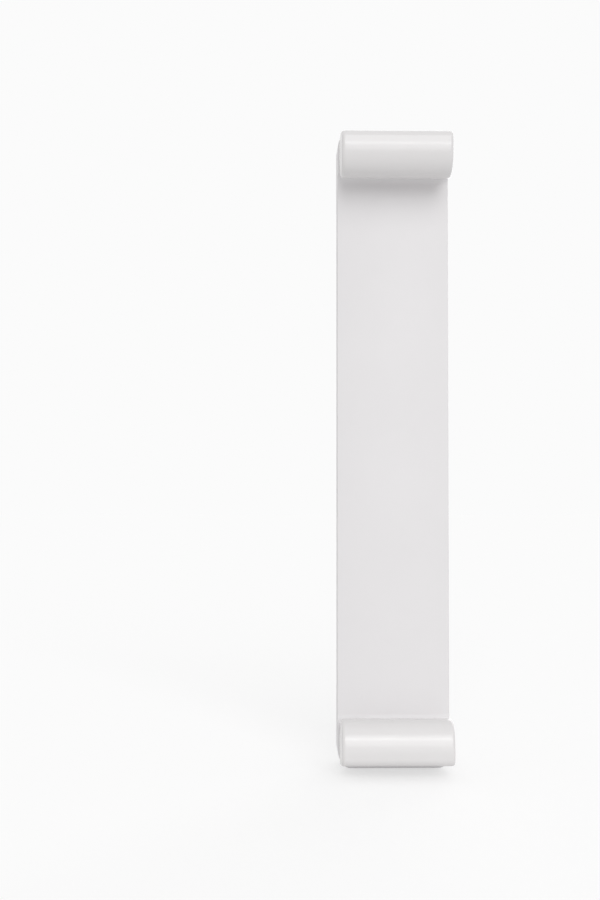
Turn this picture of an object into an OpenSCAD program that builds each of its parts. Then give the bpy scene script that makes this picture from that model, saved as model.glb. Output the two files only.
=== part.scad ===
// Suction grab bar: a wide flat grip with a roll-shaped suction pad at each end.
// Frame: X is the width, Y the distance from the wall, Z the length.
// The wall is the plane Y = 0, and the origin lies on it midway between the two pads.
// The levers are on the user's side, +Y, and are shown closed.

/* [Bar] */
// Overall length, end to end
bar_len = 420; // [360:5:520]
// Width of the grip and of the end housings
bar_w = 73.4; // [72:0.2:80]
// Clear space for the hand between wall and grip
hand_gap = 38; // [38:0.5:44]
// Thickness of the grip
grip_t = 17.4; // [17.4:0.2:20]
// How far the end covers stand above the grip
proud = 3.5; // [3:0.1:4.5]
// Height of an end housing along the bar
block_h = 46; // [46:0.5:56]
// Length of the slope from the grip up to an end cover
ramp_len = 6; // [3.5:0.5:8]
// Radius of the housings' corners, seen from the wall
corner_r = 12.5; // [10:0.5:18]

/* [Suction pad] */
// Width of a pad
pad_w = 72; // [70:0.2:72]
// Depth of a pad from the wall to its collar
pad_depth = 30; // [29:0.5:30]
// Radius of the pad's round side
pad_r = 15; // [14.8:0.1:15.2]
// Height of the flat land that meets the wall
land_h = 7.5; // [7:0.5:8.5]
// Thickness of the pad's wall
pad_wall = 3.7; // [3.2:0.1:3.8]
// Slope of the bar's end faces, in degrees
end_slope = 13; // [11:0.5:14]

/* [Lever] */
// Width of a lever
lever_w = 46; // [44:0.5:46]
// Angle that a lever opens by, in degrees
lever_open = 78; // [60:1:80]
// Travel of the pull plate from open to closed
pull_travel = 2.5; // [1.5:0.1:2.6]
// Distance from the lever pin to the cam seat when closed
cam_reach = 7; // [6.8:0.1:7.2]
// Diameter of the lever pin
pin_d = 4; // [3.5:0.1:4.2]
// Diameter of a pull stem
stem_d = 6; // [5.5:0.1:6.2]
// Distance of each pull stem from the middle
stem_x = 13; // [12.5:0.1:13.2]

/* [Shells] */
// Wall thickness of the mouldings
wall = 2.4; // [2:0.1:2.6]
// Depth of the grip cover's edge
lid_t = 3; // [2.8:0.1:3.4]
// Gap between closed mouldings
seam = 0.15; // [0.1:0.05:0.25]

/* [Hidden] */

// Places along Y
y_grip = hand_gap;
y_user = hand_gap + grip_t;
y_top = y_user + proud;
y_part = y_user - lid_t;
y_neck = pad_depth;
deck_t = 3.25;
y_deck = y_grip + deck_t;
cam_plate_t = 1.5;
cam_gap = 0.25;
y_pin = y_deck + cam_plate_t + cam_gap + cam_reach;
y_shelf = y_deck + 7.25;

// Places along Z, for the top end
z_end = bar_len / 2;
z_block = z_end - block_h;
z_joint = z_block - ramp_len;
z_roll = z_end - 21.5;
z_land = z_roll + land_h;
z_pin = z_end - 20;

// Corner between the land and the sloping end face
lip_r = 5;
// Least radius inside that corner
least_r = 0.6;
// Corner between an end face and the user's face
rim_r = 6.5;
// The bead and the shallow thumb groove across the end
bead_r = 4;
bead_drop = 1.2;
groove_depth = 1.2;
// Fillet between a housing and the grip's wall face, and where it meets the neck
fillet_r = 5.7;
z_neck = z_roll - 8.2;

// The pull grows evenly with the lever's angle when the cam is an involute
// of a circle with this radius
cam_rate = pull_travel / (lever_open * PI / 180);

screw_r = 1.5;
screw_head_r = 2.8;
screw_head_h = 2.0;
// Clearances round a screw's shank, its head and a stem, and the bite of a press fit
screw_clear = 0.2;
head_clear = 0.3;
stem_clear = 0.6;
snug = 0.03;
thread_play = 0.02;
carrier_screw_x = 28.5;
carrier_screw_z = [z_roll - 3, z_roll + 9];
cover_screw_x = 16;
cover_screw_z = z_end - 7.2;
boss_r = 4;
small_boss_r = 3.6;
// Floor of the cover screws' counterbores
y_sink = y_shelf - screw_head_h - 0.2;
// The cover screws' bosses in the tray end this far below the shelf
boss_drop = 3.5;
// Pocket in a neck: the wall beside it, and its extent along Z
neck_wall = 3.4;
pocket_z = [z_roll - 6, z_roll + 12];

stem_r = stem_d / 2;
running = 0.08;
eye_r = 4.4;
eye_t = 5;
fork_gap = 0.8;
// Pull plate at rest, the stem's spigot through it and its upset head, sunk in
// the plate's front, and the springs' floor
y_plate = pad_wall + 0.3 + pull_travel;
plate_t = 3;
spigot_r = 2;
flange_r = 3.2;
flange_t = 0.8;
spring_floor = 22;

spine_w = 44;
spine_t = 2;
spine_y = y_grip + 6.5;
spine_len = 2 * z_joint - 9;
screw_pitch = bar_len * 2 / 9;
spine_screw_z = [-1.5, -0.5, 0.5, 1.5] * screw_pitch;
rib_pitch = 40;
// Snap hooks of the grip cover, two between each pair of ribs: their count along
// one edge, length and bite in the tray's wall
hook_count = 6;
hook_len = 12;
hook_bite = 0.5;

well_x = lever_w / 2 + 0.5;
well_wall = 1.8;
well_r = 11;

white = "#E9E8E7";
pad_white = "#E4E3E2";
steel = "#B9BCC0";
aluminium = "#C9CBCE";
nylon = "#D8D6D0";

// ---- Outlines -------------------------------------------------------------

// Points on an arc about c from angle a0 to a1, in n steps
function arc(c, r, a0, a1, n = 8) =
    [for (i = [0:n]) c + r * [cos(a0 + (a1 - a0) * i / n), sin(a0 + (a1 - a0) * i / n)]];

// Rectangle from corner p to corner q with rounded corners
function round_box(p, q, r, n = 8) = concat(
    arc([q[0] - r, q[1] - r], r, 0, 90, n),
    arc([p[0] + r, q[1] - r], r, 90, 180, n),
    arc([p[0] + r, p[1] + r], r, 180, 270, n),
    arc([q[0] - r, p[1] + r], r, 270, 360, n)
);

// The same points in the other half of the bar
function reflected(points) = [for (i = [len(points) - 1:-1:0]) [points[i][0], -points[i][1]]];

// Height of the sloping end face at distance y from the wall, less an inset
function slope_z(y, inset = 0) =
    z_land + (lip_r - inset) / cos(end_slope) + (y - lip_r) * tan(end_slope);

// Section of a pad in Y and Z: a flat land, a sloping end face, and a full
// round below that runs out at 30 degrees to the collar
function pad_section(inset, back) = let (
    r = max(lip_r - inset, least_r), y = inset + r,
    z = slope_z(y, inset) - r / cos(end_slope)
) concat(
    [[back, slope_z(back, inset)]],
    arc([y, z], r, 90 + end_slope, 180),
    arc([pad_r, z_roll], pad_r - inset, 180, 300, 20),
    [[back, z_roll + (pad_r - inset) * sin(300)
        + (back - pad_r - (pad_r - inset) * cos(300)) * tan(30)]]
);

// The end housing's edge from the collar over the bead and the thumb groove
// to the user's face
bead_z = z_end - bead_drop - bead_r;
bead_start = 180 - asin((slope_z(y_neck) - bead_z) / bead_r);
bead_y = y_neck - bead_r * cos(bead_start);
rim_y = y_top - rim_r;
housing_edge = concat(
    arc([bead_y, bead_z], bead_r, bead_start, 90, 6),
    [for (i = [1:11]) [bead_y + (rim_y - bead_y) * i / 12,
        z_end - bead_drop * (1 - i / 12) - groove_depth * pow(sin(180 * i / 12), 2)]],
    arc([rim_y, z_end - rim_r], rim_r, 90, 0)
);

// Side view of the bar without its pads, upper half
half_side = concat(
    [[y_grip, 0]],
    arc([y_grip - fillet_r, z_neck - fillet_r], fillet_r, 0, 90, 6),
    [[y_neck, z_roll + pad_r * sin(300) + (y_neck - pad_r - pad_r * cos(300)) * tan(30)]],
    housing_edge,
    [[y_top, z_block], [y_user, z_joint], [y_user, 0]]
);
side_outline = concat(half_side, reflected(half_side));

// ---- Ways to carry an outline ---------------------------------------------

// Outline in Y and Z carried along X, from x0 to x1
module along_x(x0, x1) {
    translate([x0, 0, 0]) rotate([90, 0, 90]) linear_extrude(x1 - x0) children();
}

// Outline in X and Z carried along Y, from y0 to y1
module along_y(y0, y1) {
    translate([0, y1, 0]) rotate([90, 0, 0]) linear_extrude(y1 - y0) children();
}

// Round bar along X
module rod_x(x0, x1, y, z, r, fn = 48) {
    translate([x0, y, z]) rotate([0, 90, 0]) cylinder(h = x1 - x0, r = r, $fn = fn);
}

// Round bar along Y
module rod_y(y0, y1, x, z, r, fn = 40) {
    translate([x, y1, z]) rotate([90, 0, 0]) cylinder(h = y1 - y0, r = r, $fn = fn);
}

// Block between two corners
module block(p, q) {
    translate(p) cube(q - p);
}

module both_sides() {
    children();
    mirror([1, 0, 0]) children();
}

module both_ends() {
    children();
    mirror([0, 0, 1]) children();
}

// Pan-head screw along Y: the head's underside is at y, the point towards -Y
module screw(x, y, z, shank) {
    recess_r = 1.5;
    recess_t = 0.7;
    recess_floor = 0.9;
    difference() {
        union() {
            rod_y(y - shank, y + 0.01, x, z, screw_r, 24);
            rod_y(y, y + screw_head_h * 0.6, x, z, screw_head_r, 32);
            translate([x, y + screw_head_h * 0.6, z]) rotate([-90, 0, 0])
                cylinder(h = screw_head_h * 0.4, r1 = screw_head_r, r2 = screw_head_r * 0.7, $fn = 32);
        }
        // Cross recess
        for (a = [0, 90]) translate([x, y, z]) rotate([0, a, 0])
            block([-recess_r, recess_floor, -recess_t / 2], [recess_r, screw_head_h + 1, recess_t / 2]);
    }
}

// ---- Grip -----------------------------------------------------------------

// The mouldings' outer form between two levels in Y
module outer_form(y0, y1) {
    intersection() {
        along_x(-bar_w / 2, bar_w / 2) polygon(side_outline);
        along_y(y0, y1) polygon(round_box([-bar_w / 2, -z_end], [bar_w / 2, z_end], corner_r, 10));
    }
}

// Deep wall-side moulding: the whole grip, both end housings and both necks
module grip_tray() {
    // Skin left under a pilot hole
    floor_t = 1.6;
    color(white) difference() {
        union() {
            difference() {
                outer_form(y_neck, y_part);
                // Grip cavity
                block([-bar_w / 2 + wall, y_grip + wall, 3 - z_joint],
                      [bar_w / 2 - wall, y_part + 1, z_joint - 3]);
                both_sides() snap_ridge(hook_bite + 0.15, hook_len + 1);
                both_ends() housing_cavity();
            }
            grip_ribs();
            for (z = spine_screw_z) rod_y(y_grip + wall - 0.1, spine_y, 0, z, boss_r);
        }
        for (z = spine_screw_z)
            rod_y(y_grip + floor_t, spine_y + 1, 0, z, screw_r + thread_play, 24);
        both_ends() housing_holes();
    }
}

// Space in an end housing above its deck, and the pocket in its neck
module housing_cavity() {
    inset_r = corner_r - wall;
    difference() {
        along_y(y_deck, y_part + 1) polygon(concat(
            arc([bar_w / 2 - corner_r, z_end - corner_r], inset_r, 0, 90),
            arc([corner_r - bar_w / 2, z_end - corner_r], inset_r, 90, 180),
            [[wall - bar_w / 2, z_joint + 1], [bar_w / 2 - wall, z_joint + 1]]
        ));
        // The end wall stays clear of the thumb groove
        block([-bar_w, y_deck - 1, z_end - wall - groove_depth], [bar_w, y_part + 2, z_end]);
        both_sides() rod_y(y_deck - 1, y_shelf - boss_drop, cover_screw_x, cover_screw_z, small_boss_r);
    }
    // Pocket behind the pad carrier, with sleeves for stems and screws
    difference() {
        along_y(y_neck - 1, y_grip) polygon(
            round_box([neck_wall - bar_w / 2, pocket_z[0]], [bar_w / 2 - neck_wall, pocket_z[1]], 3, 4));
        both_sides() {
            rod_y(y_neck - 1, y_grip + 1, stem_x, z_pin, stem_r + 3);
            for (z = carrier_screw_z) rod_y(y_neck - 1, y_grip + 1, carrier_screw_x, z, small_boss_r);
        }
    }
}

// Holes through a housing's deck, and the finger's way to the lever's tip
module housing_holes() {
    both_sides() {
        rod_y(y_neck - 1, y_deck + 1, stem_x, z_pin, stem_r + stem_clear);
        for (z = carrier_screw_z)
            rod_y(y_neck - 1, y_deck + 1, carrier_screw_x, z, screw_r + screw_clear, 24);
        rod_y(y_grip + 0.5, y_shelf, cover_screw_x, cover_screw_z, screw_r + thread_play, 24);
    }
    finger_way = 9;
    along_y(y_shelf, y_part + 1) polygon(
        round_box([-well_x, z_end - finger_way], [well_x, z_end + finger_way], 2, 4));
}

// Ribs between the side walls and the spine
module grip_ribs() {
    count = floor((z_joint - 15) / rib_pitch);
    rib_t = 1.6;
    for (i = [-count:count])
        both_sides() block([spine_w / 2 + 0.8, y_grip + wall - 0.1, i * rib_pitch - rib_t / 2],
                           [bar_w / 2 - wall + 0.1, y_part - 3, i * rib_pitch + rib_t / 2]);
}

// Ridge along Z that a hook of the grip cover carries, or its groove in the tray.
// It stands out from the tray's inner wall by depth, and is len long.
module snap_ridge(depth, len) {
    for (i = [-hook_count / 2:hook_count / 2 - 1])
        translate([0, 0, (i + 0.5) * rib_pitch - len / 2]) linear_extrude(len) polygon([
            [bar_w / 2 - wall - 1, y_part - 2], [bar_w / 2 - wall - 1, y_part - 0.4],
            [bar_w / 2 - wall, y_part - 0.7], [bar_w / 2 - wall + depth, y_part - 1.1],
            [bar_w / 2 - wall, y_part - 1.9]
        ]);
}

// Shallow user-side cover of the grip, with snap hooks on the tongue inside its edge
module grip_cover() {
    cover_end = z_joint - seam;
    edge = 2.6;
    tongue_x = bar_w / 2 - wall - 0.3;
    tongue_t = 1.6;
    tongue_end = z_joint - 8;
    cut_w = 3;
    color(white) difference() {
        union() {
            translate([0, 0, -cover_end]) linear_extrude(2 * cover_end) polygon(concat(
                arc([bar_w / 2 - edge, y_user - edge], edge, 0, 90, 6),
                arc([edge - bar_w / 2, y_user - edge], edge, 90, 180, 6),
                [[-bar_w / 2, y_part + seam], [bar_w / 2, y_part + seam]]
            ));
            both_sides() {
                block([tongue_x - tongue_t, y_part - 2.2, -tongue_end], [tongue_x, y_part + 1, tongue_end]);
                snap_ridge(hook_bite, hook_len);
            }
        }
        // Hollow under the face
        block([tongue_t - tongue_x, y_part - 3, -tongue_end],
              [tongue_x - tongue_t, y_user - wall, tongue_end]);
        // The tongue is cut through at both sides of each hook, which lets the hook bend
        for (i = [-hook_count / 2:hook_count / 2 - 1], side = [-1, 1])
            translate([0, 0, (i + 0.5) * rib_pitch + side * (hook_len + cut_w + 1) / 2]) both_sides()
                block([tongue_x - 3, y_part - 4, -cut_w / 2], [tongue_x + 3, y_part - 0.4, cut_w / 2]);
    }
}

// Aluminium channel that stiffens the grip
module grip_spine() {
    slot_half_w = 6;
    slot_half_l = screw_pitch / 2 - 16;
    color(aluminium) difference() {
        block([-spine_w / 2, y_grip + wall + 0.4, -spine_len / 2],
              [spine_w / 2, spine_y + spine_t, spine_len / 2]);
        block([spine_t - spine_w / 2, y_grip, -spine_len / 2 - 1],
              [spine_w / 2 - spine_t, spine_y, spine_len / 2 + 1]);
        for (z = spine_screw_z)
            rod_y(spine_y - 1, spine_y + spine_t + 1, 0, z, screw_r + screw_clear, 24);
        // Lightening slots, each midway between two screws
        for (i = [-1:1]) translate([0, 0, i * screw_pitch])
            along_y(spine_y - 1, spine_y + spine_t + 1) polygon(round_box(
                [-slot_half_w, -slot_half_l], [slot_half_w, slot_half_l], slot_half_w - 0.1, 6));
    }
}

module spine_screws() {
    color(steel) for (z = spine_screw_z) screw(0, spine_y + spine_t, z, 6);
}

// ---- Suction pad and its carrier ------------------------------------------

// Soft roll with a closed face, pulled over the carrier like a sleeve
module suction_pad() {
    edge = 1.8;
    color(pad_white) difference() {
        intersection() {
            along_x(-pad_w / 2, pad_w / 2) polygon(pad_section(0, y_neck - seam));
            translate([0, 0, z_roll - pad_r]) linear_extrude(2 * pad_r + lip_r)
                polygon(round_box([-pad_w / 2, 0], [pad_w / 2, y_neck + edge], edge, 5));
            along_y(-1, y_neck + 1) polygon(round_box(
                [-pad_w / 2, z_roll - pad_r - edge], [pad_w / 2, slope_z(y_neck) + 1], edge, 5));
        }
        along_x(pad_wall - pad_w / 2, pad_w / 2 - pad_wall) polygon(pad_section(pad_wall, y_neck + 1));
    }
}

// Rigid core that holds the pad, guides the stems and houses the springs
module pad_carrier() {
    front = 9.8;
    skin = 0.1;
    sleeve_r = 6.9;
    spring_bore_r = 4.9;
    web_z = z_pin + 1;
    web_t = 1.6;
    pilot_y = 16;
    half_w = pad_w / 2 - pad_wall - skin;
    color(nylon) difference() {
        intersection() {
            union() {
                difference() {
                    along_x(-half_w, half_w) polygon(pad_section(pad_wall + skin, y_neck - seam));
                    along_x(wall - half_w, half_w - wall)
                        polygon(pad_section(pad_wall + wall, y_neck + 1));
                }
                block([-half_w, front, z_roll - pad_r], [half_w, front + wall, z_end]);
                both_sides() {
                    rod_y(front, y_neck - seam, stem_x, z_pin, sleeve_r);
                    for (z = carrier_screw_z) rod_y(front, y_neck - seam, carrier_screw_x, z, small_boss_r);
                }
                // Web that ties the sleeves together
                block([-half_w, front, web_z - web_t / 2], [half_w, y_neck - seam, web_z + web_t / 2]);
            }
            along_x(-half_w, half_w) polygon(pad_section(pad_wall + skin, y_neck - seam));
            block([-half_w, front, z_roll - pad_r], [half_w, y_neck - seam, z_end]);
        }
        both_sides() {
            rod_y(front - 1, spring_floor, stem_x, z_pin, spring_bore_r);
            rod_y(spring_floor - 1, y_neck + 1, stem_x, z_pin, stem_r + running);
            for (z = carrier_screw_z)
                rod_y(pilot_y, y_neck + 1, carrier_screw_x, z, screw_r + thread_play, 24);
        }
    }
}

// Stiff strip behind the pad's face
module pull_plate() {
    y0 = y_plate;
    low = z_pin - 4.8;
    high = z_land + 0.3;
    half_w = 29;
    bevel = 1.2;
    color(nylon) difference() {
        intersection() {
            along_y(y0, y0 + plate_t) polygon(round_box([-half_w, low], [half_w, high], 3, 5));
            // The lower front edge is cut back to clear the pad's curve
            along_x(-half_w, half_w) polygon(
                [[y0, low + bevel], [y0 + bevel, low], [y_neck, low], [y_neck, high], [y0, high]]);
        }
        both_sides() {
            rod_y(y0 - 1, y_neck, stem_x, z_pin, spigot_r + snug);
            rod_y(y0 - 1, y0 + flange_t + 0.05, stem_x, z_pin, flange_r + 0.05);
        }
    }
}

// Two steel stems, each riveted into the pull plate and with an eye for the pin
module pull_stems() {
    y0 = y_plate;
    color(steel) both_sides() difference() {
        union() {
            rod_y(y0 + plate_t, y_pin - 2, stem_x, z_pin, stem_r);
            rod_y(y0, y0 + plate_t + 0.1, stem_x, z_pin, spigot_r);
            rod_y(y0, y0 + flange_t, stem_x, z_pin, flange_r);
            rod_x(stem_x - eye_t / 2, stem_x + eye_t / 2, y_pin, z_pin, eye_r);
        }
        rod_x(stem_x - eye_t, stem_x + eye_t, y_pin, z_pin, pin_d / 2 + snug);
        // Flats beside the eye
        both_sides_of_stem() block([eye_t / 2, y_pin - 3.6, -eye_r - 1], [eye_t, y_pin + eye_r, eye_r + 1]);
    }
}

module both_sides_of_stem() {
    translate([stem_x, 0, z_pin]) {
        children();
        mirror([1, 0, 0]) children();
    }
}

// Compression springs that push the pull plate towards the wall
module stem_springs() {
    wire_r = 0.5;
    coil_r = 3.9;
    turns = 5;
    sides = 6;
    steps = 14;
    y0 = y_plate + plate_t + wire_r + 0.05;
    y1 = spring_floor - wire_r - 0.05;
    rings = turns * steps;
    // Each ring lies across the helix, tilted by the helix angle
    lead = (y1 - y0) / turns;
    tilt = atan(lead / (2 * PI * coil_r));
    points = [for (i = [0:rings]) let (a = 360 * i / steps, y = y0 + (y1 - y0) * i / rings)
        for (j = [0:sides - 1]) let (b = 360 * j / sides,
            out = coil_r + wire_r * cos(b), up = wire_r * sin(b))
            [out * cos(a) + up * sin(tilt) * sin(a), y + up * cos(tilt),
             out * sin(a) - up * sin(tilt) * cos(a)]];
    skin = [for (i = [0:rings - 1]) for (j = [0:sides - 1]) let (k = (j + 1) % sides)
        [i * sides + j, (i + 1) * sides + j, (i + 1) * sides + k, i * sides + k]];
    ends = [[for (j = [0:sides - 1]) j], [for (j = [sides - 1:-1:0]) rings * sides + j]];
    color(steel) both_sides() translate([stem_x, 0, z_pin])
        polyhedron(points = points, faces = concat(skin, ends), convexity = 6);
}

// ---- Lever mechanism ------------------------------------------------------

module lever_pin() {
    color(steel) rod_x(0.5 - lever_w / 2, lever_w / 2 - 0.5, y_pin, z_pin, pin_d / 2);
}

// Point of the cam where its outward normal makes angle a with +Y:
// the distance to the seat falls by cam_rate for each radian past 180 degrees
function cam_point(a) = let (h = cam_reach - cam_rate * (a - 180) * PI / 180)
    [h * cos(a) + cam_rate * sin(a), h * sin(a) - cam_rate * cos(a)];

// Cam flank from the open contact to the closed contact, about the pin
cam_flank = [for (i = [12:-1:0]) cam_point(180 + lever_open * i / 12)];
// Level of the arm's underside and face above the pin
arm_low = y_user - y_pin;
arm_top = y_top - y_pin - 0.1;
heel_z = -6.6;
lip_drop = 1.8;
tip_z = z_end - z_pin - 0.2;

// Flip lever: a flush plate with a finger lip, and four cam lobes on the pin
module lever() {
    arm = concat(
        [[arm_low, heel_z]],
        arc([arm_top - 1.5, heel_z + 1.5], 1.5, 270, 360, 4),
        arc([arm_top - rim_r, tip_z - rim_r], rim_r, 0, 78, 8),
        [[arm_low - lip_drop, tip_z - 0.2], [arm_low - lip_drop, tip_z - 1.8], [arm_low, tip_z - 4.2]]
    );
    lobe = concat(
        [[arm_low + 0.5, cam_flank[0][1]]],
        cam_flank,
        [[1.2 - cam_reach, 4.5], [arm_low + 0.5, 9]]
    );
    inner = stem_x - eye_t / 2 - fork_gap;
    outer = stem_x + eye_t / 2 + fork_gap;
    hub_r = pin_d / 2 + 1.8;
    rib_t = 1.6;
    color(white) translate([0, y_pin, z_pin]) difference() {
        union() {
            along_x(-lever_w / 2, lever_w / 2) polygon(arm);
            both_sides() {
                along_x(inner - 5, inner) polygon(lobe);
                along_x(outer, lever_w / 2) polygon(lobe);
            }
            // Hub between the inner lobes, with a rib that ties it to the arm
            rod_x(-inner, inner, 0, 0, hub_r);
            block([-inner, 0, -rib_t / 2], [inner, arm_low + 0.5, rib_t / 2]);
        }
        rod_x(-lever_w, lever_w, 0, 0, pin_d / 2 + running);
    }
}

// Steel seat that the cams bear on, clamped by the carrier screws
module cam_plate() {
    half_w = bar_w / 2 - 4;
    low = z_pin - 9;
    high = z_end - 6.9;
    corner_cut = 9;
    color(steel) difference() {
        along_y(y_deck, y_deck + cam_plate_t) polygon(round_box([-half_w, low], [half_w, high], 2.5, 5));
        both_sides() {
            rod_y(y_deck - 1, y_pin, stem_x, z_pin, stem_r + stem_clear);
            for (z = carrier_screw_z)
                rod_y(y_deck - 1, y_pin, carrier_screw_x, z, screw_r + screw_clear, 24);
            rod_y(y_deck - 1, y_pin, cover_screw_x, cover_screw_z, boss_r + 0.3);
        }
        // Notch for the lever's heel when it is open
        block([-well_x, y_deck - 1, low - 3], [well_x, y_pin, z_pin + heel_z + 0.8]);
        // Corners cleared for the housing's round walls
        both_sides() translate([half_w, 0, high]) rotate([0, 45, 0])
            block([-corner_cut, y_deck - 1, -corner_cut], [corner_cut, y_pin, corner_cut]);
    }
}

// User-side cover of an end housing, with the well that the lever lies in
module end_cover() {
    edge = 3;
    face_t = 2.2;
    color(white) difference() {
        union() {
            difference() {
                intersection() {
                    outer_form(y_part + seam, y_top);
                    block([-bar_w, y_part, z_joint + seam], [bar_w, y_top + 1, z_end + 1]);
                    translate([0, 0, z_joint]) linear_extrude(z_end)
                        polygon(round_box([-bar_w / 2, y_grip], [bar_w / 2, y_top], edge, 6));
                }
                // Hollow under the face
                along_y(y_part - 1, y_top - face_t) polygon(round_box(
                    [wall - bar_w / 2, z_joint + wall + 1],
                    [bar_w / 2 - wall, z_end - 2 * wall], corner_r - wall));
            }
            // Walls of the well, down to just above the cam seat
            block([-well_x - well_wall, y_deck + cam_plate_t + 0.3, z_pin - well_r - 2],
                  [well_x + well_wall, y_top - 1.5, z_end - wall - groove_depth - seam]);
        }
        lever_well();
        both_sides() {
            rod_y(y_deck, y_shelf, cover_screw_x, cover_screw_z, screw_r + screw_clear, 24);
            rod_y(y_sink, y_top, cover_screw_x, cover_screw_z, screw_head_r + head_clear);
        }
        // Room for the tray's screw bosses under the shelf
        block([-well_x - 3, y_deck, cover_screw_z - boss_r - 0.3],
              [well_x + 3, y_shelf - boss_drop + 0.1, z_end]);
    }
}

// The lever's space: its arm's slot, open at the end, and the round that its heel sweeps
module lever_well() {
    low = z_pin + heel_z - 0.7;
    block([-well_x, y_shelf, low], [well_x, y_top + 1, z_end + 1]);
    block([-well_x, y_deck, z_pin - 6], [well_x, y_shelf + 1, z_end - 11]);
    rod_x(-well_x, well_x, y_pin - pull_travel / 2, z_pin, well_r + 0.6, 64);
}

module carrier_screws() {
    color(steel) both_sides() for (z = carrier_screw_z)
        screw(carrier_screw_x, y_deck + cam_plate_t, z, 22);
}

module cover_screws() {
    color(steel) both_sides() screw(cover_screw_x, y_sink, cover_screw_z, 7);
}

// ---- The two ends ---------------------------------------------------------

module suction_pad_top() { suction_pad(); }
module pad_carrier_top() { pad_carrier(); }
module pull_plate_top() { pull_plate(); }
module pull_stems_top() { pull_stems(); }
module stem_springs_top() { stem_springs(); }
module lever_pin_top() { lever_pin(); }
module lever_top() { lever(); }
module cam_plate_top() { cam_plate(); }
module end_cover_top() { end_cover(); }
module carrier_screws_top() { carrier_screws(); }
module cover_screws_top() { cover_screws(); }

module suction_pad_bottom() { mirror([0, 0, 1]) suction_pad(); }
module pad_carrier_bottom() { mirror([0, 0, 1]) pad_carrier(); }
module pull_plate_bottom() { mirror([0, 0, 1]) pull_plate(); }
module pull_stems_bottom() { mirror([0, 0, 1]) pull_stems(); }
module stem_springs_bottom() { mirror([0, 0, 1]) stem_springs(); }
module lever_pin_bottom() { mirror([0, 0, 1]) lever_pin(); }
module lever_bottom() { mirror([0, 0, 1]) lever(); }
module cam_plate_bottom() { mirror([0, 0, 1]) cam_plate(); }
module end_cover_bottom() { mirror([0, 0, 1]) end_cover(); }
module carrier_screws_bottom() { mirror([0, 0, 1]) carrier_screws(); }
module cover_screws_bottom() { mirror([0, 0, 1]) cover_screws(); }

grip_tray();
grip_cover();
grip_spine();
spine_screws();
suction_pad_top();
pad_carrier_top();
pull_plate_top();
pull_stems_top();
stem_springs_top();
lever_pin_top();
lever_top();
cam_plate_top();
end_cover_top();
carrier_screws_top();
cover_screws_top();
suction_pad_bottom();
pad_carrier_bottom();
pull_plate_bottom();
pull_stems_bottom();
stem_springs_bottom();
lever_pin_bottom();
lever_bottom();
cam_plate_bottom();
end_cover_bottom();
carrier_screws_bottom();
cover_screws_bottom();
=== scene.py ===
import bmesh
import bpy
import numpy as np
from mathutils import Matrix, Vector
from mathutils.bvhtree import BVHTree


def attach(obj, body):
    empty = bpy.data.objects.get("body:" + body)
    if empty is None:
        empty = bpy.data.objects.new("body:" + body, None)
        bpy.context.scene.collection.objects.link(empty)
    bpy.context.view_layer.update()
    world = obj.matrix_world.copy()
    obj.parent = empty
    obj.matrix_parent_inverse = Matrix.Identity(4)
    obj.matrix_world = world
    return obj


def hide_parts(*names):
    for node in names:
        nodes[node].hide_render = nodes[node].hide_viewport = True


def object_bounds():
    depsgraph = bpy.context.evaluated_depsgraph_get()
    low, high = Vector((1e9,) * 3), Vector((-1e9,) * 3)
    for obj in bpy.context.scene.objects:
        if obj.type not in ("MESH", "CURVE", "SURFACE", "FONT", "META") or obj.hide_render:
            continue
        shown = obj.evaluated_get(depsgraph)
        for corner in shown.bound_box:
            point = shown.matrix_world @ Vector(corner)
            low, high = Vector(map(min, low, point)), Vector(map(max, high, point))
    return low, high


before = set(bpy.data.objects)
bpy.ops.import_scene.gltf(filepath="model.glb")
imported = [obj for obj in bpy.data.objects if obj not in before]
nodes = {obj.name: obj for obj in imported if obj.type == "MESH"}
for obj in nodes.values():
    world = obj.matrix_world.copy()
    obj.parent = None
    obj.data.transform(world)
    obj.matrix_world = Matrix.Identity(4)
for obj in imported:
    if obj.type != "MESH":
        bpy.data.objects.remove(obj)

cad_low, cad_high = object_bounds()

# ---- Camera ------------------------------------------------------------------------
# The bar stands upright and is seen from the wall side, from a little left of it and
# from slightly below its middle.

EYE = Vector((-0.07314, -0.74075, -0.02230))
AHEAD = Vector((0.015033, 0.999532, 0.026659))
LEAN = Vector((-0.001000, -0.026647, 0.999644))
LENS_MM = 47.25
SENSOR_MM = 36.0
NEAR_M, FAR_M = 0.01, 50.0

camera_data = bpy.data.cameras.new("camera")
camera_data.lens = LENS_MM
camera_data.sensor_width = SENSOR_MM
camera_data.clip_start, camera_data.clip_end = NEAR_M, FAR_M
camera = bpy.data.objects.new("camera", camera_data)
turned = Matrix((AHEAD.cross(LEAN), LEAN, -AHEAD)).transposed()
camera.matrix_world = Matrix.Translation(EYE) @ turned.to_4x4()
bpy.context.scene.collection.objects.link(camera)
bpy.context.scene.camera = camera
bpy.context.scene.view_settings.view_transform = "Standard"

# ---- Studio: light table, two softboxes, two strip lamps, fill, pale surroundings ------
# The bar stands on a matt translucent sheet lit from below, which takes a soft shadow. A wide
# far softbox lights it from the front and above, and a like one lights the user's side from
# behind. A strip lamp draws each roll's gloss line, and a weak fill lifts the lower roll.

BACKGROUND = "#FBFBFB"
SHEET = "#C8C8C8"
LAMP_WHITE = "#FFFFFF"
FLOOR_HALF_M = 6.0
FLOOR_CORNERS = ((-1, -1), (1, -1), (1, 1), (-1, 1))
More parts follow.
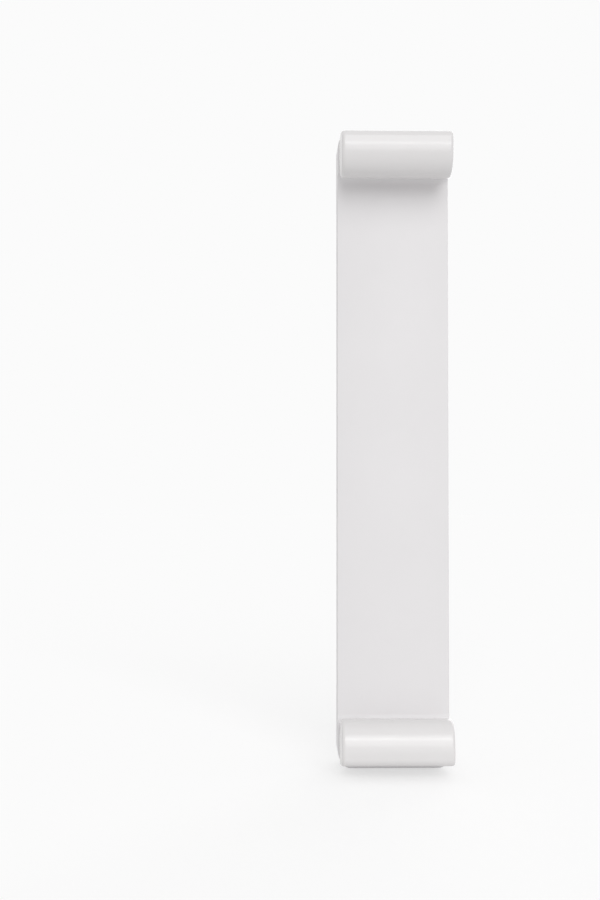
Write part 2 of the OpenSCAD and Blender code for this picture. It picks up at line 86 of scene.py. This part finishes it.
# Light that the bar gets through the sheet
TABLE_GLOW = 0.20
SURROUND_LEVEL = 0.64
SOFTBOX_WIDE = np.radians(44.0)
KEY_LEVEL = 1.01
KEY_FROM = Vector((0.15, -0.90, 0.40))
BACK_LEVEL = 0.60
BACK_FROM = Vector((0.35, 0.88, 0.26))
STRIP_SIZE_M = (1.3, 0.07)
STRIP_PLACES = {"top": Vector((0.10, -1.10, 0.475)), "bottom": Vector((0.10, -1.10, 0.40))}
STRIP_WATTS = {"top": 2.0, "bottom": 2.2}
FILL_PLACE = Vector((0.0, -0.90, 0.30))
FILL_SIZE_M = 0.6
FILL_WATTS = 0.45


def linear(hex_colour):
    """sRGB hex to linear RGBA: c / 12.92 below 0.04045, else ((c + 0.055) / 1.055) ** 2.4."""
    c = np.array([int(hex_colour[i:i + 2], 16) for i in (1, 3, 5)]) / 255.0
    c = np.where(c <= 0.04045, c / 12.92, ((c + 0.055) / 1.055) ** 2.4)
    return (*c.tolist(), 1.0)


def add(tree, kind, sockets=None, **settings):
    """Adds a node of a kind; a socket is given a value, or is linked to another node's output."""
    node = tree.nodes.new(kind)
    for name, value in settings.items():
        setattr(node, name, value)
    for name, value in (sockets or {}).items():
        if isinstance(value, bpy.types.NodeSocket):
            tree.links.new(value, node.inputs[name])
        else:
            node.inputs[name].default_value = value
    return node


def start_material(name):
    """An empty node material, its tree and its output node."""
    material = bpy.data.materials.new(name)
    material.use_nodes = True
    material.node_tree.nodes.clear()
    output = add(material.node_tree, "ShaderNodeOutputMaterial")
    return material, material.node_tree, output


def seen_directly(tree):
    """1 for what the camera, a gloss or a glass sees, 0 for what lights the object."""
    path = add(tree, "ShaderNodeLightPath")
    gloss = add(tree, "ShaderNodeMath", {
        0: path.outputs["Is Camera Ray"], 1: path.outputs["Is Glossy Ray"]}, operation="MAXIMUM")
    glass = add(tree, "ShaderNodeMath", {
        0: gloss.outputs[0], 1: path.outputs["Is Transmission Ray"]}, operation="MAXIMUM")
    return glass.outputs[0]


world = bpy.data.worlds.new("studio")
world.use_nodes = True
bpy.context.scene.world = world
tree = world.node_tree
tree.nodes.clear()
surround = add(tree, "ShaderNodeBackground", {"Color": linear(LAMP_WHITE), "Strength": SURROUND_LEVEL})
backdrop = add(tree, "ShaderNodeBackground", {"Color": linear(BACKGROUND), "Strength": 1.0})
mixed = add(tree, "ShaderNodeMixShader", {
    0: seen_directly(tree), 1: surround.outputs[0], 2: backdrop.outputs[0]})
add(tree, "ShaderNodeOutputWorld", {"Surface": mixed.outputs[0]})

# Opal acrylic with a matt face: an even white that mirrors nothing and takes a soft shadow.
# To the eye it is as white as the backdrop, because its glow adds what the lamps leave out.
lit_by_lamps = (KEY_LEVEL * KEY_FROM.normalized().z + BACK_LEVEL * BACK_FROM.normalized().z) / np.pi
lit_sheet = linear(SHEET)[0] * (SURROUND_LEVEL + lit_by_lamps)
opal_sheet, tree, output = start_material("acrylic_opal_matt")
sheet = add(tree, "ShaderNodeBsdfDiffuse", {"Color": linear(SHEET)})
level = add(tree, "ShaderNodeMapRange", {
    "Value": seen_directly(tree), "To Min": TABLE_GLOW, "To Max": linear(BACKGROUND)[0] - lit_sheet})
glow = add(tree, "ShaderNodeEmission", {"Color": linear(LAMP_WHITE), "Strength": level.outputs[0]})
both = add(tree, "ShaderNodeAddShader", {0: sheet.outputs[0], 1: glow.outputs[0]})
tree.links.new(both.outputs[0], output.inputs["Surface"])

floor_mesh = bpy.data.meshes.new("floor")
floor_mesh.from_pydata(
    [(x * FLOOR_HALF_M, y * FLOOR_HALF_M, cad_low.z) for x, y in FLOOR_CORNERS], [], [(0, 1, 2, 3)])
floor_mesh.materials.append(opal_sheet)
floor = bpy.data.objects.new("floor", floor_mesh)
bpy.context.scene.collection.objects.link(floor)


def lamp(name, kind, place, aim, **settings):
    """A lamp at place, turned towards aim."""
    data = bpy.data.lights.new(name, kind)
    for key, value in settings.items():
        setattr(data, key, value)
    light = bpy.data.objects.new(name, data)
    light.location = place
    light.rotation_mode = "QUATERNION"
    light.rotation_quaternion = (aim - place).to_track_quat("-Z", "Y")
    bpy.context.scene.collection.objects.link(light)
    return light


wall_point = Vector((0.0, 0.0, 0.0))
bar_middle = (cad_low + cad_high) / 2
lamp("key", "SUN", KEY_FROM, wall_point, energy=KEY_LEVEL, angle=SOFTBOX_WIDE)
lamp("back", "SUN", BACK_FROM, wall_point, energy=BACK_LEVEL, angle=SOFTBOX_WIDE)
# Each strip draws one gloss line, on one roll: it gives no diffuse light
glossed = {}
for end, strip_place in STRIP_PLACES.items():
    strip = lamp("strip_" + end, "AREA", strip_place, bar_middle, shape="RECTANGLE",
                 energy=STRIP_WATTS[end], size=STRIP_SIZE_M[0], size_y=STRIP_SIZE_M[1])
    strip.visible_diffuse = False
    glossed[end] = bpy.data.collections.new("glossed_by_strip_" + end)
    strip.light_linking.receiver_collection = glossed[end]
# The fill lifts the lower roll out of the corner that it makes with the grip: it gives no gloss
fill = lamp("fill", "AREA", FILL_PLACE, bar_middle, shape="SQUARE", energy=FILL_WATTS, size=FILL_SIZE_M)
fill.visible_glossy = False
fill.light_linking.receiver_collection = glossed["bottom"]

# ---- Mouldings: tray, grip cover and end covers ----------------------------------------
# Injection-moulded white ABS with a fine spark-eroded satin grain. The edges that lie open
# on the assembled bar carry a small radius, and the parting lines are sharp.

ABS_WHITE = "#E9E7E8"
ABS_SHADE = "#E5E3E4"
ABS_IOR = 1.54
ABS_ROUGH = {"To Min": 0.36, "To Max": 0.46}
GRAIN_MM = 0.35
GRAIN_BUMP = {"Strength": 0.35, "Distance": 0.00003}
FLOW_MM = 55.0
FLOW_BUMP = {"Strength": 0.25, "Distance": 0.0006}
HANDLED_MM = 18.0
# The part of a noise's range that is spread over a roughness range
NOISE_SPREAD = {"From Min": 0.3, "From Max": 0.7}
COVER_EDGE_M = 0.0003
EDGE_RADIUS_M = {"grip_tray": 0.0005, "grip_cover": 0.0004,
                 "end_cover_top": COVER_EDGE_M, "end_cover_bottom": COVER_EDGE_M}
EDGE_SEGMENTS = 3
WELD_M = 1e-6
JUST_CLEAR_M = 0.00002
FLAT_WITHIN = np.radians(0.4)
ROUNDED_FROM = np.radians(35.0)
CREASED_FROM = np.radians(32.0)


def per_metre(size_mm):
    """Noise scale whose features are about size_mm across, on Object coordinates in metres."""
    return 1000.0 / size_mm


# Satin ABS: a broad soft sheen without clear reflections. Handling changes it a little from
# place to place, and slow flow waves keep large faces from looking dead flat.
abs_shell, tree, output = start_material("abs_moulded_satin_white")
place = add(tree, "ShaderNodeTexCoord").outputs["Object"]
# Grain is drawn about twice as coarse as the real 0.15 mm so that it just shows
grain = add(tree, "ShaderNodeTexNoise", {
    "Vector": place, "Scale": per_metre(GRAIN_MM), "Detail": 2.0, "Roughness": 0.6})
flow = add(tree, "ShaderNodeTexNoise", {"Vector": place, "Scale": per_metre(FLOW_MM), "Detail": 3.0})
handled = add(tree, "ShaderNodeTexNoise", {
    "Vector": place, "Scale": per_metre(HANDLED_MM), "Detail": 4.0, "Roughness": 0.55})
rough = add(tree, "ShaderNodeMapRange", {"Value": handled.outputs[0], **NOISE_SPREAD, **ABS_ROUGH})
tint = add(tree, "ShaderNodeMix", {
    0: flow.outputs[0], 6: linear(ABS_WHITE), 7: linear(ABS_SHADE)}, data_type="RGBA")
waves = add(tree, "ShaderNodeBump", {"Height": flow.outputs[0], **FLOW_BUMP})
fine = add(tree, "ShaderNodeBump", {"Height": grain.outputs[0], "Normal": waves.outputs[0], **GRAIN_BUMP})
body = add(tree, "ShaderNodeBsdfPrincipled", {
    "Base Color": tint.outputs[2], "Roughness": rough.outputs[0], "IOR": ABS_IOR, "Normal": fine.outputs[0]})
tree.links.new(body.outputs[0], output.inputs["Surface"])

# All the solids of the bar together, to tell which edges lie open
together = bmesh.new()
for node in nodes.values():
    together.from_mesh(node.data)
whole_bar = BVHTree.FromBMesh(together)
together.free()


def with_round_edges(name, source, radius_m):
    """A CAD node's mesh with its flat facets joined and its exposed edges rounded. An edge is
    exposed if it is convex, turns by more than ROUNDED_FROM, and a ray out of its middle,
    along the mean of its two faces' normals, leaves the bar."""
    work = bmesh.new()
    work.from_mesh(nodes[source].data)
    bmesh.ops.remove_doubles(work, verts=work.verts, dist=WELD_M)
    bmesh.ops.dissolve_limit(work, angle_limit=FLAT_WITHIN, verts=work.verts, edges=work.edges)
    work.normal_update()
    weight = work.edges.layers.float.new("bevel_weight_edge")
    for edge in work.edges:
        if edge.is_convex and edge.calc_face_angle(0.0) > ROUNDED_FROM:
            outward = (edge.link_faces[0].normal + edge.link_faces[1].normal).normalized()
            start = (edge.verts[0].co + edge.verts[1].co) / 2 + outward * JUST_CLEAR_M
            edge[weight] = float(whole_bar.ray_cast(start, outward)[0] is None)
    mesh = bpy.data.meshes.new(name)
    work.to_mesh(mesh)
    work.free()
    piece = bpy.data.objects.new(name, mesh)
    bpy.context.scene.collection.objects.link(piece)
    bevel = piece.modifiers.new("edge_radius", "BEVEL")
    bevel.width, bevel.segments, bevel.limit_method = radius_m, EDGE_SEGMENTS, "WEIGHT"
    # A clamp would cut every radius to suit the smallest edge
    bevel.use_clamp_overlap = False
    depsgraph = bpy.context.evaluated_depsgraph_get()
    shaped = bpy.data.meshes.new_from_object(piece.evaluated_get(depsgraph))
    piece.modifiers.clear()
    piece.data = shaped
    shaped.name = name
    shaped.polygons.foreach_set("use_smooth", np.ones(len(shaped.polygons), bool))
    shaped.set_sharp_from_angle(angle=CREASED_FROM)
    return piece


for node, radius_m in EDGE_RADIUS_M.items():
    shell = with_round_edges(node + "_moulding", node, radius_m)
    shell.data.materials.append(abs_shell)
    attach(shell, "bar")
    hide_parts(node)

# ---- Suction pads ----------------------------------------------------------------------
# Two soft rolls of white elastomer, moulded smooth so that the flat land seals on a tile.
# Each is a sleeve with closed, slightly domed ends, pulled over its carrier.

END_SIGN = {"top": 1, "bottom": -1}
PAD_WHITE = "#E4E2E2"
PAD_IOR = 1.50
PAD_ROUGH = {"To Min": 0.19, "To Max": 0.265}
TOUCHED_MM = 12.0
DENTS_MM = 22.0
DENTS_BUMP = {"Strength": 0.3, "Distance": 0.0006}
PAD_HALF_M = 0.0360
PAD_ROUND_M = 0.0150
PAD_ROLL_Z_M = 0.1885
PAD_LIP_M = 0.0050
PAD_LAND_M = 0.0075
PAD_BACK_M = 0.02985
PAD_END_SLOPE = np.radians(13.0)
PAD_RUN_OUT = np.radians(30.0)
PAD_CROWN_M = 0.0005
PAD_CROWN_SPREAD_M = 0.0045
PAD_EDGE_M = 0.0022
PAD_DOME_M = 0.0005
PAD_SKIN_M = 0.0032
PAD_INNER_EDGE_M = 0.0008
# Points on the outline's parts, then on the whole outline and along the pad
STRAIGHT_STEPS, LIP_STEPS, ROUND_STEPS = 12, 16, 48
GIRTH_STEPS, LENGTH_STEPS, EDGE_STEPS, DOME_STEPS = 120, 30, 9, 14


def arc(centre, radius_m, turn):
    """Points on a circle: centre + radius * (cos turn, sin turn)."""
    return centre + radius_m * np.stack([np.cos(turn), np.sin(turn)], 1)


def straight(start, stop):
    """Points at even steps from start to stop: start + (stop - start) * t."""
    return start + (stop - start) * np.linspace(0, 1, STRAIGHT_STEPS)[:, None]


def on_back(point, slope):
    """Where a line from point meets the pad's back: z rises by tan(slope) for each unit of y."""
    return np.array([PAD_BACK_M, point[1] + (PAD_BACK_M - point[0]) * np.tan(slope)])


def pad_outline():
    """Open Y-Z curve, walked at even steps: straight end slope, lip arc, flat land, full round,
    straight run-out. Away from the land's middle the front is set back by
    crown * (1 - exp(-(z / spread) ^ 2)), which fades to nothing at the depth of the round's centre."""
    land_top = PAD_ROLL_Z_M + PAD_LAND_M
    lip = arc([PAD_LIP_M, land_top], PAD_LIP_M, np.linspace(np.pi / 2 + PAD_END_SLOPE, np.pi, LIP_STEPS))
    land = straight(np.array([0.0, land_top]), np.array([0.0, PAD_ROLL_Z_M]))
    roll = arc([PAD_ROUND_M, PAD_ROLL_Z_M], PAD_ROUND_M,
               np.linspace(np.pi, 3 * np.pi / 2 + PAD_RUN_OUT, ROUND_STEPS))
    slope = straight(on_back(lip[0], PAD_END_SLOPE), lip[0])
    run_out = straight(roll[-1], on_back(roll[-1], PAD_RUN_OUT))
    points = np.concatenate([slope[:-1], lip[:-1], land[:-1], roll[:-1], run_out])
    off_middle = (points[:, 1] - land_top + PAD_LAND_M / 2) / PAD_CROWN_SPREAD_M
    fading = np.clip(1 - points[:, 0] / PAD_ROUND_M, 0, 1)
    points[:, 0] += PAD_CROWN_M * (1 - np.exp(-off_middle ** 2)) * fading
    length = np.concatenate([[0], np.cumsum(np.hypot(*np.diff(points, axis=0).T))])
    even = np.linspace(0, length[-1], GIRTH_STEPS)
    return np.stack([np.interp(even, length, points[:, 0]), np.interp(even, length, points[:, 1])], 1)


def drawn_in(outline, inset_m):
    """The outline moved inwards: outline + inset * unit normal, its two ends kept on the pad's back."""
    along = np.gradient(outline, axis=0)
    along /= np.linalg.norm(along, axis=1, keepdims=True)
    moved = outline + inset_m * np.stack([-along[:, 1], along[:, 0]], 1)
    moved[:, 0] = np.minimum(moved[:, 0], PAD_BACK_M)
    moved[[0, -1], 0] = PAD_BACK_M
    return moved


def rows_at(x, sections):
    """Rows of X-Y-Z points: each value of x with its Y-Z section, or with the one they share."""
    sections = np.broadcast_to(sections, (len(x), *sections.shape[-2:]))
    return np.concatenate([np.broadcast_to(x[:, None, None], (*sections.shape[:2], 1)), sections], 2)


def pad_grid(outline, half_m, edge_m, dome_m):
    """Rows run along X: dome, edge round, straight, edge round, dome. On the edge round, at angle q,
    the outline is drawn in by edge * (1 - cos q) while X grows by edge * sin q. On the dome it
    is scaled by t about the middle of its back while X grows by dome * (1 - t ^ 2)."""
    back_middle = np.array([PAD_BACK_M, (outline[0, 1] + outline[-1, 1]) / 2])
    spokes = outline - back_middle
    reach = np.linalg.norm(spokes, axis=1, keepdims=True)
    flat_half = half_m - dome_m - edge_m
    q = np.linspace(0, np.pi / 2, EDGE_STEPS)
    t = np.linspace(1, 0, DOME_STEPS)[1:]
    on_edge = 1 - edge_m * (1 - np.cos(q))[:, None, None] / reach
    on_dome = on_edge[-1] * t[:, None, None]
    end_x = np.concatenate([flat_half + edge_m * np.sin(q), flat_half + edge_m + dome_m * (1 - t * t)])
    end = rows_at(end_x, back_middle + np.concatenate([on_edge, on_dome]) * spokes)
    between = rows_at(np.linspace(-flat_half, flat_half, LENGTH_STEPS)[1:-1], outline)
    return np.concatenate([end[::-1] * [-1, 1, 1], between, end])


def mesh_from_grid(name, grid):
    """Quad mesh of a rows x columns grid of points, welded where points are equal."""
    rows, columns = grid.shape[:2]
    index = np.arange(rows * columns).reshape(rows, columns)
    faces = np.stack([index[:-1, :-1], index[:-1, 1:], index[1:, 1:], index[1:, :-1]], -1).reshape(-1, 4)
    mesh = bpy.data.meshes.new(name)
    mesh.from_pydata(grid.reshape(-1, 3).tolist(), [], faces.tolist())
    work = bmesh.new()
    work.from_mesh(mesh)
    bmesh.ops.remove_doubles(work, verts=work.verts, dist=WELD_M)
    bmesh.ops.dissolve_degenerate(work, edges=work.edges, dist=WELD_M)
    bmesh.ops.recalc_face_normals(work, faces=work.faces)
    work.to_mesh(mesh)
    work.free()
    mesh.polygons.foreach_set("use_smooth", np.ones(len(mesh.polygons), bool))
    return mesh


def pad_mesh(name, sign):
    """Outer skin and inner skin as one closed sleeve: the columns run round the outer outline and
    back round the inner one, so the two meet in a rim on the pad's back."""
    outline = pad_outline()
    outer = pad_grid(outline, PAD_HALF_M, PAD_EDGE_M, PAD_DOME_M)
    inner = pad_grid(drawn_in(outline, PAD_SKIN_M), PAD_HALF_M - PAD_SKIN_M, PAD_INNER_EDGE_M, 0.0)
    return mesh_from_grid(name, np.concatenate([outer, inner[:, ::-1], outer[:, :1]], 1) * [1, 1, sign])


# Elastomer from a smooth mould: a narrow gloss line with soft edges, and no grain. Touching
# changes the gloss a little from place to place, and shallow dents bend the line.
elastomer, tree, output = start_material("elastomer_moulded_smooth_white")
place = add(tree, "ShaderNodeTexCoord").outputs["Object"]
touched = add(tree, "ShaderNodeTexNoise", {"Vector": place, "Scale": per_metre(TOUCHED_MM), "Detail": 2.0})
dented = add(tree, "ShaderNodeTexNoise", {"Vector": place, "Scale": per_metre(DENTS_MM), "Detail": 2.0})
rough = add(tree, "ShaderNodeMapRange", {"Value": touched.outputs[0], **NOISE_SPREAD, **PAD_ROUGH})
dents = add(tree, "ShaderNodeBump", {"Height": dented.outputs[0], **DENTS_BUMP})
body = add(tree, "ShaderNodeBsdfPrincipled", {
    "Base Color": linear(PAD_WHITE), "Roughness": rough.outputs[0], "IOR": PAD_IOR,
    "Normal": dents.outputs[0]})
tree.links.new(body.outputs[0], output.inputs["Surface"])

for end, sign in END_SIGN.items():
    mesh = pad_mesh("suction_roll_" + end, sign)
    pad = bpy.data.objects.new("suction_roll_" + end, mesh)
    bpy.context.scene.collection.objects.link(pad)
    mesh.materials.append(elastomer)
    glossed[end].objects.link(pad)
    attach(pad, "bar")
    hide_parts("suction_pad_" + end)

# ---- Levers ----------------------------------------------------------------------------
# Flip levers moulded from the same ABS as the covers, and flush with them when shut. Each
# turns on a steel pin through the eyes of its two stems, and its cams bear on a steel seat.

LEVER_EDGE_M = 0.0004

# The same satin as the mouldings, as a material of its own so that levers can be coloured apart
abs_lever = abs_shell.copy()
abs_lever.name = "abs_moulded_satin_lever"
for end in END_SIGN:
    lever = with_round_edges("flip_lever_" + end, "lever_" + end, LEVER_EDGE_M)
    lever.data.materials.append(abs_lever)
    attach(lever, "lever_" + end)
    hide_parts("lever_" + end)

# ---- Steel: stems, springs, pins, cam seats and screws -----------------------------------
# Stainless steel, turned, wound or stamped. The stems end in eyes for the lever's pin, the
# springs sit round them in the carrier, and the screws hold carrier, seat, spine and covers.

STEEL = "#C9C8C5"
STEEL_ROUGH = {"To Min": 0.2, "To Max": 0.34}
TURNING_MM = 0.6
STEEL_NODES = ("pull_stems", "stem_springs", "lever_pin", "cam_plate", "carrier_screws", "cover_screws")

# Bright stainless: a warm grey with slightly blurred reflections, which fine marks break up
steel, tree, output = start_material("stainless_turned_bright")
place = add(tree, "ShaderNodeTexCoord").outputs["Object"]
marks = add(tree, "ShaderNodeTexNoise", {"Vector": place, "Scale": per_metre(TURNING_MM), "Detail": 2.0})
rough = add(tree, "ShaderNodeMapRange", {"Value": marks.outputs[0], **STEEL_ROUGH})
body = add(tree, "ShaderNodeBsdfPrincipled", {
    "Base Color": linear(STEEL), "Metallic": 1.0, "Roughness": rough.outputs[0]})
tree.links.new(body.outputs[0], output.inputs["Surface"])


def dress(name, material):
    """A CAD node as it stands, in one material."""
    mesh = nodes[name].data
    mesh.materials.clear()
    mesh.materials.append(material)


dress("spine_screws", steel)
for end in END_SIGN:
    for node in STEEL_NODES:
        dress(f"{node}_{end}", steel)

# ---- Grip spine --------------------------------------------------------------------------
# An extruded aluminium channel with three lightening slots, screwed into the tray. It stiffens
# the grip along nearly its whole length and is closed in by the grip cover.

ALUMINIUM = "#D8D9DA"
ALUMINIUM_ROUGH = {"To Min": 0.28, "To Max": 0.42}
DIE_LINE_MM = 0.5
# The lines run along the channel: the pattern is stretched a hundred times along Z
DIE_LINE_STRETCH = (1.0, 1.0, 0.01)

# Mill-finish aluminium: a pale silvery sheen, streaked along the channel by lines from the die
aluminium, tree, output = start_material("aluminium_extruded_mill")
place = add(tree, "ShaderNodeTexCoord").outputs["Object"]
drawn = add(tree, "ShaderNodeMapping", {"Vector": place, "Scale": DIE_LINE_STRETCH})
lines = add(tree, "ShaderNodeTexNoise", {
    "Vector": drawn.outputs[0], "Scale": per_metre(DIE_LINE_MM), "Detail": 2.0})
rough = add(tree, "ShaderNodeMapRange", {"Value": lines.outputs[0], **ALUMINIUM_ROUGH})
body = add(tree, "ShaderNodeBsdfPrincipled", {
    "Base Color": linear(ALUMINIUM), "Metallic": 1.0, "Roughness": rough.outputs[0]})
tree.links.new(body.outputs[0], output.inputs["Surface"])

dress("grip_spine", aluminium)

# ---- Pad carriers and pull plates --------------------------------------------------------
# Injection-moulded natural nylon. The carriers are the pads' rigid cores, with sleeves for the
# stems and pockets for the springs, and the pull plates are stiff strips behind the pads' faces.

NYLON = "#E2DFD4"
NYLON_IOR = 1.53
NYLON_ROUGH = {"To Min": 0.38, "To Max": 0.5}
CLOUD_MM = 6.0

# Natural nylon: an off-white, slightly waxy sheen with cloudy patches from moulding
nylon, tree, output = start_material("nylon_moulded_natural")
place = add(tree, "ShaderNodeTexCoord").outputs["Object"]
cloud = add(tree, "ShaderNodeTexNoise", {"Vector": place, "Scale": per_metre(CLOUD_MM), "Detail": 3.0})
rough = add(tree, "ShaderNodeMapRange", {"Value": cloud.outputs[0], **NYLON_ROUGH})
body = add(tree, "ShaderNodeBsdfPrincipled", {
    "Base Color": linear(NYLON), "Roughness": rough.outputs[0], "IOR": NYLON_IOR})
tree.links.new(body.outputs[0], output.inputs["Surface"])

for end in END_SIGN:
    for node in ("pad_carrier", "pull_plate"):
        dress(f"{node}_{end}", nylon)
